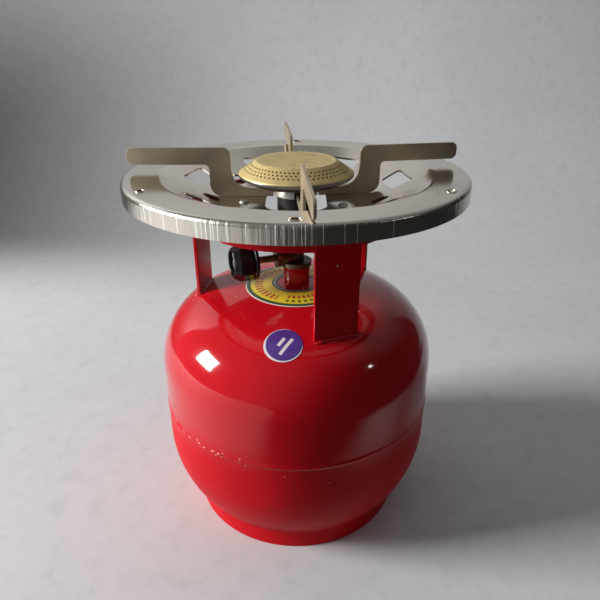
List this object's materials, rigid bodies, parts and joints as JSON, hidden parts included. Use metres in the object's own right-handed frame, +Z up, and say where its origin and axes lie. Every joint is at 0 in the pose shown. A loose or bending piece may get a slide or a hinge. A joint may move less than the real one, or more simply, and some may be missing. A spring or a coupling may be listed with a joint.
{
  "type": "cylinder top gas stove",
  "caption": "Small round gas bottle with a screwed-on burner, valve knob, strap stand, drip pan and upright pan supports for camp cooking.",
  "frame": {"origin": "on the floor, on the axis of the bottle, at the middle of the foot ring's bottom", "axes": "+Z up along the bottle's axis, -Y towards the front, +X to the right seen from the front"},
  "size_m": [0.2272, 0.2272, 0.275],
  "materials": {
    "red_enamel": "glossy enamel with small chips",
    "label_yellow": "printed plain bands, no lettering",
    "sticker_purple": "plain disc with a pale border",
    "stainless_pan": "polished stainless sheet with scratches",
    "stainless_arm": "dull stainless sheet",
    "zinc_steel": "zinc plated",
    "burner_brass": "pale pressed brass",
    "burner_steel": "dark pressed steel",
    "black_steel": "blackened steel tube",
    "valve_brass": "dull turned brass",
    "seal_rubber": "matte rubber",
    "knob_black": "glossy moulded plastic"
  },
  "bodies": {
    "stove": {"upper_shell": "red_enamel", "lower_shell": "red_enamel", "girth_weld": "red_enamel", "foot_ring": "red_enamel", "foot_weld": "red_enamel", "neck_bush": "red_enamel", "ring_label": "label_yellow", "shoulder_sticker": "sticker_purple", "front_leg": "red_enamel", "rear_leg": "red_enamel", "left_leg": "red_enamel", "leg_welds": "red_enamel", "stand_ring": "red_enamel", "drip_pan": "stainless_pan", "pan_screws": "zinc_steel", "pan_nuts": "zinc_steel", "front_pan_support": "stainless_arm", "right_pan_support": "stainless_arm", "rear_pan_support": "stainless_arm", "left_pan_support": "stainless_arm", "burner_cap": "burner_brass", "burner_bowl": "burner_steel", "mixing_tube": "black_steel", "jet_holder": "valve_brass", "gas_jet": "valve_brass", "valve_body": "valve_brass", "gland_nut": "valve_brass", "gland_seal": "seal_rubber"},
    "shutter": {"air_shutter": "zinc_steel"},
    "valve_stem": {"seat_pad": "seal_rubber"},
    "handwheel": {"spindle": "valve_brass", "knob": "knob_black", "knob_screw": "zinc_steel"}
  },
  "joints": [
    {"name": "shutter_turn", "type": "hinge", "parent": "stove", "child": "shutter", "pos_m": [0, 0, 0.2476], "axis": [0, 0, 1], "range_deg": [0, 80]},
    {"name": "stem_travel", "type": "slide", "parent": "stove", "child": "valve_stem", "axis": [-0.9397, -0.342, 0], "range_m": [0, 0.0018]},
    {"name": "knob_turn", "type": "hinge", "parent": "valve_stem", "child": "handwheel", "pos_m": [0, 0, 0.19933], "axis": [-0.9397, -0.342, 0], "range_deg": [0, 540]}
  ],
  "couplings": [
    {"joint": "stem_travel", "follows": "knob_turn", "m_per_rad": 0.000159}
  ]
}
